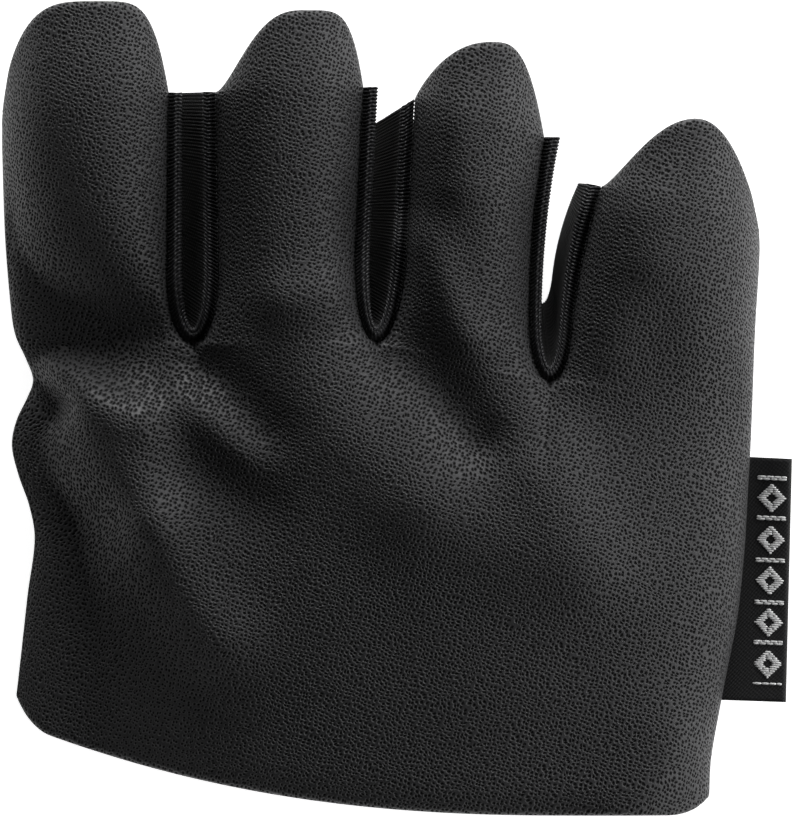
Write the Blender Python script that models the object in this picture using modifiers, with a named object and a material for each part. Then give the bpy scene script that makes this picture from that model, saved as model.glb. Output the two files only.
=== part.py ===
"""Left-hand workout glove with open fingertips and no thumb, lying on its back with the palm up.

X runs from the index side to the little-finger side, Y from the wrist to the fingertips and Z up out of the palm.
The grained leather palm and the stretch back meet in two side seams, SEAM_HEIGHT above the surface below. Three
ribbed elastic bands line the slits between the fingers and join the two panels, and a woven label is caught in
the little-finger seam. Shares count from the glove's index-side edge and from the lowest point of its hem.
"""

import math
from bisect import bisect_right
from collections import namedtuple

import bmesh
import bpy

# Driving sizes, in metres
GLOVE_WIDTH = 0.0971
GLOVE_LENGTH = 0.1041
SEAM_HEIGHT = 0.0095
PALM_RISE = 0.0155
LEATHER_WALL = 0.0015
BACK_WALL = 0.0013
SEW_GAP = 0.0003
SEAM_STRIP = 0.0012
BAND_WALL = 0.0016
BAND_SLOT = 0.0030
BAND_PROUD = 0.0003
BAND_BACK_HEIGHT = 0.0032
LABEL_LENGTH = 0.0312
LABEL_THICKNESS = 0.0011
LABEL_REACH_TOP = 0.0054
LABEL_REACH_FOOT = 0.0083
LABEL_TUCK = 0.0030
LABEL_SLANT = 0.0004
LABEL_RAMP = 0.0041

# Where things lie, as shares of the glove's width and length
WEB_LEFT_Y = 0.580
WEB_RIGHT_Y = 0.512
OPENING_LEFT_Y = 0.861
OPENING_RIGHT_Y = 0.726
HEM_CLIMB = 0.1135
HEM_LOW_X = 0.81
HEM_POWER = 2.4
LABEL_MIDDLE_Y = 0.292

Corner = namedtuple("Corner", "span climb")
HEM_CORNER_LEFT = Corner(0.05, 0.028)
HEM_CORNER_RIGHT = Corner(0.06, 0.0185)

# Outline of the two sides: share of the length, share of the width
LEFT_EDGE = (
    (0.14, 0.018),
    (0.27, 0.034),
    (0.34, 0.043),
    (0.38, 0.036),
    (0.42, 0.021),
    (0.455, 0.013),
    (0.485, 0.019),
    (0.515, 0.034),
    (0.535, 0.041),
    (0.56, 0.032),
    (0.59, 0.018),
    (0.625, 0.012),
    (0.72, 0.004),
    (0.82, 0.000),
)
RIGHT_EDGE = (
    (0.02, 0.933),
    (0.07, 0.936),
    (0.14, 0.949),
    (0.26, 0.973),
    (0.44, 0.987),
    (0.60, 0.994),
    (0.69, 1.000),
    (0.73, 0.999),
)

# The four finger tabs: tip place, then the power and the flare of the bell curve on each side of the tip
Finger = namedtuple("Finger", "name tip_x tip_y left_power left_flare right_power right_flare")
FINGERS = (
    Finger("index", 0.124, 1.000, 3.6, 0.66, 5.0, 1.0),
    Finger("middle", 0.398, 0.989, 2.6, 1.65, 5.3, 1.0),
    Finger("ring", 0.645, 0.950, 2.2, 0.90, 3.3, 1.0),
    Finger("little", 0.914, 0.856, 2.0, 1.4, 2.2, 0.9),
)

# The slits between the fingers: foot, ends, how much is rounded, and the widths at the foot (low) and at the mouth
# (high) as shares of the full one. bend is the power of the middle line's curve. Towards the back a band leans to
# the index side by lean slots, and its foot climbs by foot_climb of the length. slant is that of its right end.
Slit = namedtuple("Slit", "name foot_x foot_y mouth_x left_y right_y rounded low high bend lean foot_climb slant")
SLITS = (
    Slit("index_middle", 0.2525, 0.581, 0.2515, 0.888, 0.889, 0.28, 0.99, 0.88, 1.0, 1.25, 0.025, 0.0),
    Slit("middle_ring", 0.4945, 0.583, 0.511, 0.895, 0.881, 0.36, 0.95, 0.97, 1.0, 1.20, 0.025, 0.6),
    Slit("ring_little", 0.722, 0.534, 0.753, 0.834, 0.773, 0.22, 0.68, 1.08, 2.2, 0.28, 0.078, -0.2),
)

# Height of the palm's crest as a share of PALM_RISE, at a reach of 0 at the hem, 1 at the web, 2 at the finger
# openings and 3 at the tips
PALM_PROFILE = ((0.0, 0.72), (0.06, 0.79), (0.5, 1.0), (1.0, 0.98), (2.0, 1.0), (3.0, 0.84))

# Folds of the palm, negative for a dent: x and half_width are shares of the width, y of the length, and height of
# PALM_RISE
Fold = namedtuple("Fold", "name x0 y0 x1 y1 half_width height")
FOLDS = (
    Fold("thumb_ridge", 0.064, 0.545, 0.183, 0.486, 0.035, 0.19),
    Fold("long_ridge", 0.075, 0.535, 0.185, 0.370, 0.050, 0.26),
    Fold("long_ridge_low", 0.200, 0.325, 0.278, 0.215, 0.060, 0.19),
    Fold("thumb_pad", 0.110, 0.480, 0.195, 0.443, 0.063, 0.10),
    Fold("heel_slope", -0.030, 0.365, 0.050, 0.070, 0.320, -0.38),
    Fold("index_valley", 0.018, 0.615, 0.196, 0.580, 0.050, -0.24),
    Fold("index_slope", 0.000, 0.695, 0.077, 0.615, 0.105, -0.26),
    Fold("thumb_dimple", 0.044, 0.520, 0.066, 0.503, 0.023, -0.32),
    Fold("thumb_bump", 0.050, 0.427, 0.097, 0.410, 0.032, 0.08),
    Fold("thumb_slope", 0.010, 0.470, 0.060, 0.250, 0.110, -0.14),
    Fold("middle_crease", 0.275, 0.550, 0.347, 0.474, 0.036, -0.13),
    Fold("middle_slope", 0.314, 0.578, 0.354, 0.510, 0.059, -0.05),
    Fold("middle_ridge", 0.253, 0.503, 0.323, 0.448, 0.032, 0.09),
    Fold("palm_dent", 0.256, 0.432, 0.331, 0.383, 0.047, -0.10),
    Fold("middle_knuckle", 0.374, 0.633, 0.433, 0.640, 0.037, 0.10),
    Fold("ring_crease", 0.540, 0.562, 0.626, 0.464, 0.038, -0.13),
    Fold("ring_crease_end", 0.640, 0.455, 0.690, 0.470, 0.034, -0.05),
    Fold("ring_slope", 0.550, 0.590, 0.610, 0.510, 0.055, -0.04),
    Fold("ring_ridge", 0.555, 0.700, 0.612, 0.590, 0.034, 0.11),
    Fold("ring_tip", 0.595, 0.840, 0.600, 0.780, 0.045, 0.09),
    Fold("ring_pad", 0.426, 0.504, 0.539, 0.388, 0.075, 0.13),
    Fold("ring_pad_low", 0.581, 0.375, 0.680, 0.323, 0.075, 0.10),
    Fold("little_ridge", 0.694, 0.461, 0.773, 0.314, 0.060, 0.12),
    Fold("little_flank", 0.805, 0.732, 0.790, 0.572, 0.053, 0.12),
    Fold("little_pad", 0.861, 0.738, 0.861, 0.690, 0.050, 0.09),
    Fold("little_crease", 0.815, 0.515, 0.974, 0.500, 0.075, -0.10),
    Fold("hem_corner", 0.830, 0.000, 0.890, 0.075, 0.060, 0.13),
)

# Shape of the cross-sections. A fold fades out below FOLD_FADE_LIFT of the crest's height, and the palm keeps
# LEAST_RISE of its plain height under every dent, as shares.
PALM_ROUND = 2.6
BACK_ROUND = 3.2
FINGER_ROUND = 2.2
SLIT_DIP = 0.44
ARCH_POWER = 2.3
BACK_FILL = 1.10
BACK_FLAT_HALF = 0.35
FOLD_FADE_LIFT = 0.60
LEAST_RISE = 0.36
LEAST_RISE_BLEND = 0.02

# Where the one round section turns into four fingers, as shares of the length past the web
Blend = namedtuple("Blend", "start end")
FINGER_BLEND = Blend(-0.10, 0.18)
SLIT_DIP_BLEND = Blend(-0.15, 0.18)
BACK_SLIT_BLEND = Blend(-0.125, 0.03)

# Mesh steps
BODY_ROWS = 13
FINGER_ROWS = 10
TAB_ROWS = 5
SEAM_HALF_STEPS = 6
SLIT_HALF_LATERALS = (0.5, 0.69, 0.84, 0.94, 1.0)
ROW_CROWDING = 1.5
TOP_ROUND_STEPS = 4
LABEL_STEPS = 4
WELD = 1e-6


def mix(a, b, share):
    return a + (b - a) * share


def ease(value):
    """A smooth step from 0 to 1."""
    value = min(max(value, 0.0), 1.0)
    return value * value * (3 - 2 * value)


def along(table, place):
    """The height, at a place, of a smooth curve through the table's rows of place and height."""
    places = [row[0] for row in table]
    heights = [row[1] for row in table]
    if place <= places[0]:
        return heights[0]
    if place >= places[-1]:
        return heights[-1]

    def slope(i):
        before, after = max(i - 1, 0), min(i + 1, len(table) - 1)
        return (heights[after] - heights[before]) / (places[after] - places[before])

    i = bisect_right(places, place) - 1
    span = places[i + 1] - places[i]
    s = (place - places[i]) / span
    return (
        (2 * s**3 - 3 * s**2 + 1) * heights[i]
        + (s**3 - 2 * s**2 + s) * span * slope(i)
        + (3 * s**2 - 2 * s**3) * heights[i + 1]
        + (s**3 - s**2) * span * slope(i + 1)
    )


def corner_lift(distance, corner):
    """How far a hem corner is rounded up, at a distance from the side as a share of the hem."""
    return corner.climb * max(0.0, 1 - distance / corner.span) ** 2


def hem_y(share):
    """Place of the wrist hem, as a share of the length."""
    sweep = HEM_CLIMB * max(0.0, 1 - share / HEM_LOW_X) ** HEM_POWER
    return sweep + corner_lift(share, HEM_CORNER_LEFT) + corner_lift(1 - share, HEM_CORNER_RIGHT)


def label_overhang():
    """How far the label stands out past the glove's widest place."""
    top = LABEL_MIDDLE_Y + LABEL_LENGTH / 2 / GLOVE_LENGTH
    return max(0.0, GLOVE_WIDTH * (along(RIGHT_EDGE, top) - 1) + LABEL_REACH_TOP)


OVERALL_WIDTH = GLOVE_WIDTH + label_overhang()


def to_x(share):
    return share * GLOVE_WIDTH - OVERALL_WIDTH / 2


def to_y(share):
    return (share - 0.5) * GLOVE_LENGTH


def side_x(side, y_share):
    """The glove's edge on side -1, the index finger's, or 1, the little finger's."""
    return to_x(along(LEFT_EDGE if side < 0 else RIGHT_EDGE, y_share))


def slit_point(slit, side, climb, depth, inset=0.0):
    """A point on one side of a slit, at a climb of 0 at its foot and 1 at its mouth.

    depth is 0 in the leather and 1 in the back panel, and inset goes from the slit's edge into the slit.
    """
    half = BAND_SLOT / 2 + BAND_WALL + SEW_GAP - inset
    rounding = math.sqrt(1 - (1 - min(climb / slit.rounded, 1.0)) ** 2)
    half *= rounding * mix(slit.low, slit.high, climb)
    lean = depth * slit.lean * BAND_SLOT
    foot = to_y(slit.foot_y + depth * slit.foot_climb) + inset
    end = to_y(slit.left_y) if side < 0 else to_y(slit.right_y) - slit.slant * (lean + inset)
    x = mix(to_x(slit.foot_x), to_x(slit.mouth_x), climb**slit.bend) + side * half - lean
    return x, mix(foot, end, climb)


def finger_side(index, side, climb, depth):
    """A point on one side of a finger: a slit's edge, or the outer seam."""
    if index == 0 and side < 0:
        y_share = mix(WEB_LEFT_Y, OPENING_LEFT_Y, climb)
        return side_x(side, y_share), to_y(y_share)
    if index == len(FINGERS) - 1 and side > 0:
        y_share = mix(WEB_RIGHT_Y, OPENING_RIGHT_Y, climb)
        return side_x(side, y_share), to_y(y_share)
    return slit_point(SLITS[index if side > 0 else index - 1], -side, climb, depth)


def finger_point(index, lateral, climb, depth):
    """A point across a finger: lateral is 0 on its left side and 1 on its right side."""
    left = finger_side(index, -1, climb, depth)
    right = finger_side(index, 1, climb, depth)
    return mix(left[0], right[0], lateral), mix(left[1], right[1], lateral)


def body_point(index, lateral, reach, depth):
    """A point of a panel below the fingers: reach is 0 at the hem and 1 at the web."""
    web_x, web_y = finger_point(index, lateral, 0.0, depth)
    web_share_y = web_y / GLOVE_LENGTH + 0.5
    left, right = side_x(-1, web_share_y), side_x(1, web_share_y)
    web_share = (web_x - left) / (right - left)
    hem_share = (index + lateral) / len(FINGERS)
    share = mix(hem_share, web_share, reach)
    y_share = mix(hem_y(hem_share), web_share_y, reach)
    return mix(side_x(-1, y_share), side_x(1, y_share), share), to_y(y_share)


def tab_outline(index, lateral):
    """A point on the outline of a finger's tab, in front of the finger opening."""
    finger = FINGERS[index]
    left = finger_side(index, -1, 1.0, 0.0)
    right = finger_side(index, 1, 1.0, 0.0)
    x = mix(left[0], right[0], lateral)
    tip_x, tip_y = to_x(finger.tip_x), to_y(finger.tip_y)
    end, power, flare = (
        (left, finger.left_power, finger.left_flare)
        if x < tip_x
        else (right, finger.right_power, finger.right_flare)
    )
    out = min(abs(x - tip_x) / abs(end[0] - tip_x), 1.0)
    return x, mix(end[1], tip_y, (1 - out**power) ** flare)


def plan_point(index, lateral, reach, depth):
    """A point of a panel in plan, at a reach of 0 to 3 as in PALM_PROFILE."""
    if reach <= 1:
        return body_point(index, lateral, reach, depth)
    if reach <= 2:
        return finger_point(index, lateral, reach - 1, depth)
    foot, tip = finger_point(index, lateral, 1.0, depth), tab_outline(index, lateral)
    return mix(foot[0], tip[0], reach - 2), mix(foot[1], tip[1], reach - 2)


def dome(offset, power):
    """Height of a rounded cross-section, 1 in the middle and 0 at an offset of 1 either way."""
    return max(0.0, 1 - min(abs(offset), 1.0) ** power) ** (1 / power)


def blended(blend, index, lateral, y, depth):
    """How far a change that follows the web has come at a place, from 0 to 1."""
    web_y = finger_point(index, lateral, 0.0, depth)[1]
    return ease(((y - web_y) / GLOVE_LENGTH - blend.start) / (blend.end - blend.start))


def section_lift(index, lateral, x, y, depth, body_round):
    """Height of the section without its slits, as a share: a dome at the hem, and a round outer side on a finger."""
    y_share = y / GLOVE_LENGTH + 0.5
    left, right = side_x(-1, y_share), side_x(1, y_share)
    body = dome(2 * (x - left) / (right - left) - 1, body_round)
    offset = 2 * lateral - 1
    outer = (index == 0 and offset < 0) or (index == len(FINGERS) - 1 and offset > 0)
    finger = dome(offset, FINGER_ROUND) if outer else 1.0
    return mix(body, finger, blended(FINGER_BLEND, index, lateral, y, depth)), outer


def fold_height(x, y):
    """Sum of the palm's folds at a point, as a share of PALM_RISE."""
    total = 0.0
    for fold in FOLDS:
        x0, y0, x1, y1 = to_x(fold.x0), to_y(fold.y0), to_x(fold.x1), to_y(fold.y1)
        dx, dy = x1 - x0, y1 - y0
        share = ((x - x0) * dx + (y - y0) * dy) / (dx * dx + dy * dy)
        share = min(max(share, 0.0), 1.0)
        gap = math.hypot(x - x0 - share * dx, y - y0 - share * dy)
        total += fold.height * math.exp(-((gap / (fold.half_width * GLOVE_WIDTH)) ** 2))
    return total


def palm_z(index, lateral, reach, x, y):
    """Height of the leather's outer face."""
    lift, outer = section_lift(index, lateral, x, y, 0, PALM_ROUND)
    if not outer:
        dip = SLIT_DIP * blended(SLIT_DIP_BLEND, index, lateral, y, 0)
        lift *= 1 - dip * abs(2 * lateral - 1) ** ARCH_POWER
    plain = lift * along(PALM_PROFILE, reach)
    over = (1 - LEAST_RISE) * plain + fold_height(x, y) * ease(lift / FOLD_FADE_LIFT)
    rise = LEAST_RISE * plain + (over + math.hypot(over, LEAST_RISE_BLEND)) / 2
    return palm_rim_z(0, y) + SEAM_STRIP + rise * (PALM_RISE - SEAM_STRIP)


def palm_rim_z(_side, _y):
    """Height of the leather's seam edge, which is level."""
    return SEAM_HEIGHT + SEW_GAP / 2


def label_opening(y):
    """How far the seam opens at a place to let the label in."""
    beyond = abs(y - to_y(LABEL_MIDDLE_Y)) - LABEL_LENGTH / 2 - LABEL_RAMP
    return (LABEL_THICKNESS + SEW_GAP) * ease(1 - beyond / LABEL_RAMP)


def back_rim_z(side, y):
    """Height of the back panel's seam edge."""
    return SEAM_HEIGHT - SEW_GAP / 2 - (label_opening(y) if side > 0 else 0.0)


def back_z(index, lateral, _reach, x, y):
    """Height of the back panel's outer face, flat on the surface below its middle."""
    lift, outer = section_lift(index, lateral, x, y, 1, BACK_ROUND)
    top = back_rim_z(1 if index >= len(FINGERS) / 2 else -1, y) - SEAM_STRIP
    z = top * (1 - min(1.0, BACK_FILL * lift))
    if not outer:
        beside = max(0.0, (abs(2 * lateral - 1) - BACK_FLAT_HALF) / (1 - BACK_FLAT_HALF))
        climb = blended(BACK_SLIT_BLEND, index, lateral, y, 1)
        z += BAND_BACK_HEIGHT * climb * beside**ARCH_POWER
    return z


def laterals(index):
    """Places of the columns across a finger, closer together beside a seam."""
    slit_half = [lateral - 0.5 for lateral in SLIT_HALF_LATERALS]
    angles = [math.pi / 2 * i / SEAM_HALF_STEPS for i in range(SEAM_HALF_STEPS)]
    seam_half = [0.5 * math.cos(angle) ** (2 / FINGER_ROUND) for angle in reversed(angles)]
    seam_half.insert(0, 0.0)
    left = seam_half if index == 0 else slit_half
    right = seam_half if index == len(FINGERS) - 1 else slit_half
    return [0.5 - half for half in reversed(left)] + [0.5 + half for half in right[1:]]


def finger_climbs():
    """Rows up a slit, closer together at its rounded foot."""
    return [(row / FINGER_ROWS) ** ROW_CROWDING for row in range(FINGER_ROWS + 1)]


def reaches(with_tabs):
    """Rows of a panel, from the hem up."""
    rows = [row / BODY_ROWS for row in range(BODY_ROWS)]
    rows += [1 + climb for climb in finger_climbs()]
    if with_tabs:
        rows += [2 + (row + 1) / TAB_ROWS for row in range(TAB_ROWS)]
    return rows


def mesh_object(name, points, faces, material, collection):
    mesh = bpy.data.meshes.new(name)
    mesh.from_pydata(points, [], faces)
    shape = bmesh.new()
    shape.from_mesh(mesh)
    bmesh.ops.remove_doubles(shape, verts=shape.verts, dist=WELD)
    bmesh.ops.dissolve_degenerate(shape, edges=shape.edges, dist=WELD)
    shape.to_mesh(mesh)
    shape.free()
    mesh.shade_smooth()
    mesh.materials.append(material)
    made = bpy.data.objects.new(name, mesh)
    collection.objects.link(made)
    return made


def grid_faces(first, rows, columns, flipped):
    """Faces of a grid whose points are numbered row by row from first."""
    faces = []
    for row in range(rows - 1):
        for column in range(columns - 1):
            low = first + row * columns + column
            high = low + columns
            face = (low, low + 1, high + 1, high)
            faces.append(face[::-1] if flipped else face)
    return faces


def panel(name, height, rim, depth, wall, material, collection):
    """The palm panel, at depth 0, or the back panel, at depth 1, with its wall inwards.

    It has a strip for each finger and an upright strip along each side seam. height gives its outer face, and rim
    its seam edge. Only the palm panel has tabs.
    """
    points, faces = [], []
    with_tabs = depth == 0
    rows = reaches(with_tabs)
    for index in range(len(FINGERS)):
        columns = laterals(index)
        first = len(points)
        for reach in rows:
            for lateral in columns:
                x, y = plan_point(index, lateral, reach, depth)
                points.append((x, y, height(index, lateral, reach, x, y)))
        faces += grid_faces(first, len(rows), len(columns), flipped=not with_tabs)
    for side, index in ((-1, 0), (1, len(FINGERS) - 1)):
        lateral = 0.0 if side < 0 else 1.0
        seam_rows = [reach for reach in rows if reach <= 2]
        first = len(points)
        for reach in seam_rows:
            x, y = plan_point(index, lateral, reach, depth)
            inner, outer = height(index, lateral, reach, x, y), rim(side, y)
            points += [(x, y, outer), (x, y, inner)][::-side]
        faces += grid_faces(first, len(seam_rows), 2, flipped=not with_tabs)
    made = mesh_object(name, points, faces, material, collection)
    shell = made.modifiers.new("wall", "SOLIDIFY")
    shell.thickness = wall
    shell.offset = -1
    return made


def loft(name, rings, material, collection):
    """A closed solid through rings of as many points each, with flat ends."""
    count = len(rings[0])
    points = [point for ring in rings for point in ring]
    faces = [tuple(range(count))[::-1], tuple(range(len(points) - count, len(points)))]
    for row in range(len(rings) - 1):
        for i in range(count):
            low, beside = row * count + i, row * count + (i + 1) % count
            faces.append((low, beside, beside + count, low + count))
    return mesh_object(name, points, faces, material, collection)


def band_ring(slit_index, side, climb):
    """Cross-section of a band at one place: a wall with a rolled front edge, upright beside each panel."""
    slit = SLITS[slit_index]
    finger, lateral = (slit_index, 1.0) if side < 0 else (slit_index + 1, 0.0)
    front = palm_z(finger, lateral, 1 + climb, *slit_point(slit, side, climb, 0.0))
    back = back_z(finger, lateral, 1 + climb, *slit_point(slit, side, climb, 1.0))
    top = front + BAND_PROUD
    below_leather = front - LEATHER_WALL - SEAM_STRIP
    above_back = back + BACK_WALL + SEAM_STRIP
    roll = BAND_WALL / 2
    section = [(0.0, 1.0, back), (0.0, 1.0, above_back), (0.0, 0.0, below_leather)]
    for step in range(TOP_ROUND_STEPS + 1):
        angle = math.pi * step / TOP_ROUND_STEPS
        section.append(((1 - math.cos(angle)) / 2, 0.0, top - roll * (1 - math.sin(angle))))
    section += [(1.0, 0.0, below_leather), (1.0, 1.0, above_back), (1.0, 1.0, back)]
    return [
        (*slit_point(slit, side, climb, depth, SEW_GAP + across * BAND_WALL), z)
        for across, depth, z in section
    ]


def finger_band(slit_index, material, collection):
    """A ribbed band down one side of a slit, round its foot and up the other side."""
    climbs = finger_climbs()
    rings = [band_ring(slit_index, 1, climb) for climb in reversed(climbs)]
    rings += [band_ring(slit_index, -1, climb) for climb in climbs[1:]]
    return loft("finger_band_" + SLITS[slit_index].name, rings, material, collection)


def woven_label(material, collection):
    """The folded label: flat, its ends tucked into the seam and its fold turned outwards."""
    top_z = SEAM_HEIGHT - SEW_GAP / 2
    roll = LABEL_THICKNESS / 2
    middle = to_y(LABEL_MIDDLE_Y)
    low, high = middle - LABEL_LENGTH / 2, middle + LABEL_LENGTH / 2
    low_edge = side_x(1, low / GLOVE_LENGTH + 0.5)
    high_edge = side_x(1, high / GLOVE_LENGTH + 0.5)
    fold_low, fold_high = low_edge + LABEL_REACH_FOOT, high_edge + LABEL_REACH_TOP
    rings = []
    for step in range(LABEL_STEPS + 1):
        share = step / LABEL_STEPS
        y = mix(low, high, share)
        inner_x = side_x(1, y / GLOVE_LENGTH + 0.5) - LABEL_TUCK
        fold_x = mix(fold_low, fold_high, share)
        fold_y = y - LABEL_SLANT
        ring = [(inner_x, y, top_z - LABEL_THICKNESS), (inner_x, y, top_z)]
        for turn in range(TOP_ROUND_STEPS + 1):
            angle = math.pi * turn / TOP_ROUND_STEPS
            x = fold_x - roll * (1 - math.sin(angle))
            ring.append((x, fold_y, top_z - roll * (1 - math.cos(angle))))
        rings.append(ring)
    return loft("woven_label", rings, material, collection)


def surface(name, colour, roughness):
    """A Principled material in the colour and roughness of one of the glove's cloths."""
    material = bpy.data.materials.new(name)
    material.use_nodes = True
    shader = material.node_tree.nodes["Principled BSDF"]
    shader.inputs["Base Color"].default_value = (*colour, 1.0)
    shader.inputs["Roughness"].default_value = roughness
    shader.inputs["Metallic"].default_value = 0.0
    return material


def clear_scene():
    for old in list(bpy.data.objects):
        bpy.data.objects.remove(old, do_unlink=True)


def main():
    clear_scene()
    glove = bpy.data.collections.new("workout_glove")
    bpy.context.scene.collection.children.link(glove)
    leather = surface("palm_leather", (0.030, 0.030, 0.032), 0.48)
    knit = surface("back_knit", (0.016, 0.016, 0.018), 0.85)
    elastic = surface("ribbed_elastic", (0.014, 0.014, 0.016), 0.75)
    weave = surface("label_weave", (0.018, 0.018, 0.020), 0.70)
    panel("palm_panel", palm_z, palm_rim_z, 0, LEATHER_WALL, leather, glove)
    panel("back_panel", back_z, back_rim_z, 1, BACK_WALL, knit, glove)
    for slit_index in range(len(SLITS)):
        finger_band(slit_index, elastic, glove)
    woven_label(weave, glove)


main()
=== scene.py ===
"""Looks of the left-hand workout glove, lying on its back with the palm up.

Panels, bands and label follow the solids' sizes and tables, on fine meshes with folds, rolled edges, ribs
and threads. Lengths are in metres, and the UV maps hold places on the flat cloth in millimetres. Shares
count from the index-side edge and from the lowest point of the hem. A side is -1 towards the index finger
and 1 towards the little finger, and a depth is 0 in the leather and 1 in the back panel.
"""

import math
from collections import namedtuple

import bmesh
import bpy
import numpy as np
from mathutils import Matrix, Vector, noise
from mathutils.kdtree import KDTree


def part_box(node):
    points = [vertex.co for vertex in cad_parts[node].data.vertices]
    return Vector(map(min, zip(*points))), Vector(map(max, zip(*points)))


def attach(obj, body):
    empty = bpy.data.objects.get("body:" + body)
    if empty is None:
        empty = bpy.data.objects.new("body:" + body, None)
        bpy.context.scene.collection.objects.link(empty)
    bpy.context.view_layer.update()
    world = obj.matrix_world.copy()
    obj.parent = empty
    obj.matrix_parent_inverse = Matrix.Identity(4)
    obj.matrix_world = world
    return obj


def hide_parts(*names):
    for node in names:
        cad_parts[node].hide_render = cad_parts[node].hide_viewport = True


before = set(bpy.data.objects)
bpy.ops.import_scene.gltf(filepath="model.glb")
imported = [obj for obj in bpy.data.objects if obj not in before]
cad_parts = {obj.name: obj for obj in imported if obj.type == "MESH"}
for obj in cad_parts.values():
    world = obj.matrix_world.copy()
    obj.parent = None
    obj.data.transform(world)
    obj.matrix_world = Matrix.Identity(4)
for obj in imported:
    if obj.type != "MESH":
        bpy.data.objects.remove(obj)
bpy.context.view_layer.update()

# Sizes taken from the frame
PALM_LOW, PALM_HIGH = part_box("palm_panel")
BACK_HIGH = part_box("back_panel")[1]
LABEL_LOW, LABEL_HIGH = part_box("woven_label")
GLOVE_WIDTH = PALM_HIGH.x - PALM_LOW.x
GLOVE_LENGTH = PALM_HIGH.y - PALM_LOW.y
PALM_RIM = PALM_LOW.z
BACK_RIM = BACK_HIGH.z
SEW_GAP = PALM_RIM - BACK_RIM
LABEL_THICKNESS = LABEL_HIGH.z - LABEL_LOW.z

# Sizes of the glove, in metres, as its solids have them
PALM_RISE = 0.0155
LEATHER_WALL = 0.0015
BACK_WALL = 0.0013
SEAM_STRIP = 0.0012
BAND_WALL = 0.0016
BAND_SLOT = 0.0030
BAND_PROUD = 0.0003
BAND_BACK_HEIGHT = 0.0032
LABEL_LENGTH = 0.0312
LABEL_REACH_TOP = 0.0054
LABEL_REACH_FOOT = 0.0083
LABEL_TUCK = 0.0030
LABEL_SLANT = 0.0004
LABEL_RAMP = 0.0041

# Where things lie, as shares of the glove's width and length
WEB_LEFT_Y = 0.580
WEB_RIGHT_Y = 0.512
OPENING_LEFT_Y = 0.861
OPENING_RIGHT_Y = 0.726
HEM_CLIMB = 0.1135
HEM_LOW_X = 0.81
HEM_POWER = 2.4
LABEL_MIDDLE_Y = 0.292

Corner = namedtuple("Corner", "span climb")
HEM_CORNER_LEFT = Corner(0.05, 0.028)
HEM_CORNER_RIGHT = Corner(0.06, 0.0185)

# Outline of the two sides: share of the length, share of the width
LEFT_EDGE = (
    (0.14, 0.018),
    (0.27, 0.034),
    (0.34, 0.043),
    (0.38, 0.036),
    (0.42, 0.021),
    (0.455, 0.013),
    (0.485, 0.019),
    (0.515, 0.034),
    (0.535, 0.041),
    (0.56, 0.032),
    (0.59, 0.018),
    (0.625, 0.012),
    (0.72, 0.004),
    (0.82, 0.000),
)
RIGHT_EDGE = (
    (0.02, 0.933),
    (0.07, 0.936),
    (0.14, 0.949),
    (0.26, 0.973),
    (0.44, 0.987),
    (0.60, 0.994),
    (0.69, 1.000),
    (0.73, 0.999),
)

# The four finger tabs: tip place, then the power and the flare of the bell curve on each side of the tip
Finger = namedtuple("Finger", "name tip_x tip_y left_power left_flare right_power right_flare")
FINGERS = (
    Finger("index", 0.124, 1.000, 3.6, 0.66, 5.0, 1.0),
    Finger("middle", 0.398, 0.989, 2.6, 1.65, 5.3, 1.0),
    Finger("ring", 0.645, 0.950, 2.2, 0.90, 3.3, 1.0),
    Finger("little", 0.914, 0.856, 2.0, 1.4, 2.2, 0.9),
)

# The slits between the fingers: foot, ends, how much is rounded, and the widths at the foot (low) and the
# mouth (high) as shares of the full one. bend is the power of the middle line's curve. Towards the back a
# band leans to the index side by lean slots, and its foot climbs by foot_climb. slant is its right end's.
Slit = namedtuple(
    "Slit", "name foot_x foot_y mouth_x left_y right_y rounded low high bend lean foot_climb slant"
)
SLITS = (
    Slit("index_middle", 0.2525, 0.581, 0.2515, 0.888, 0.889, 0.28, 0.99, 0.88, 1.0, 1.25, 0.025, 0.0),
    Slit("middle_ring", 0.4945, 0.583, 0.511, 0.895, 0.881, 0.36, 0.95, 0.97, 1.0, 1.20, 0.025, 0.6),
    Slit("ring_little", 0.722, 0.534, 0.753, 0.834, 0.773, 0.22, 0.68, 1.08, 2.2, 0.28, 0.078, -0.2),
)

# Height of the palm's crest as a share of PALM_RISE, at a reach of 0 at the hem, 1 at the web, 2 at the
# finger openings and 3 at the tips
PALM_PROFILE = ((0.0, 0.72), (0.06, 0.79), (0.5, 1.0), (1.0, 0.98), (2.0, 1.0), (3.0, 0.84))

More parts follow.
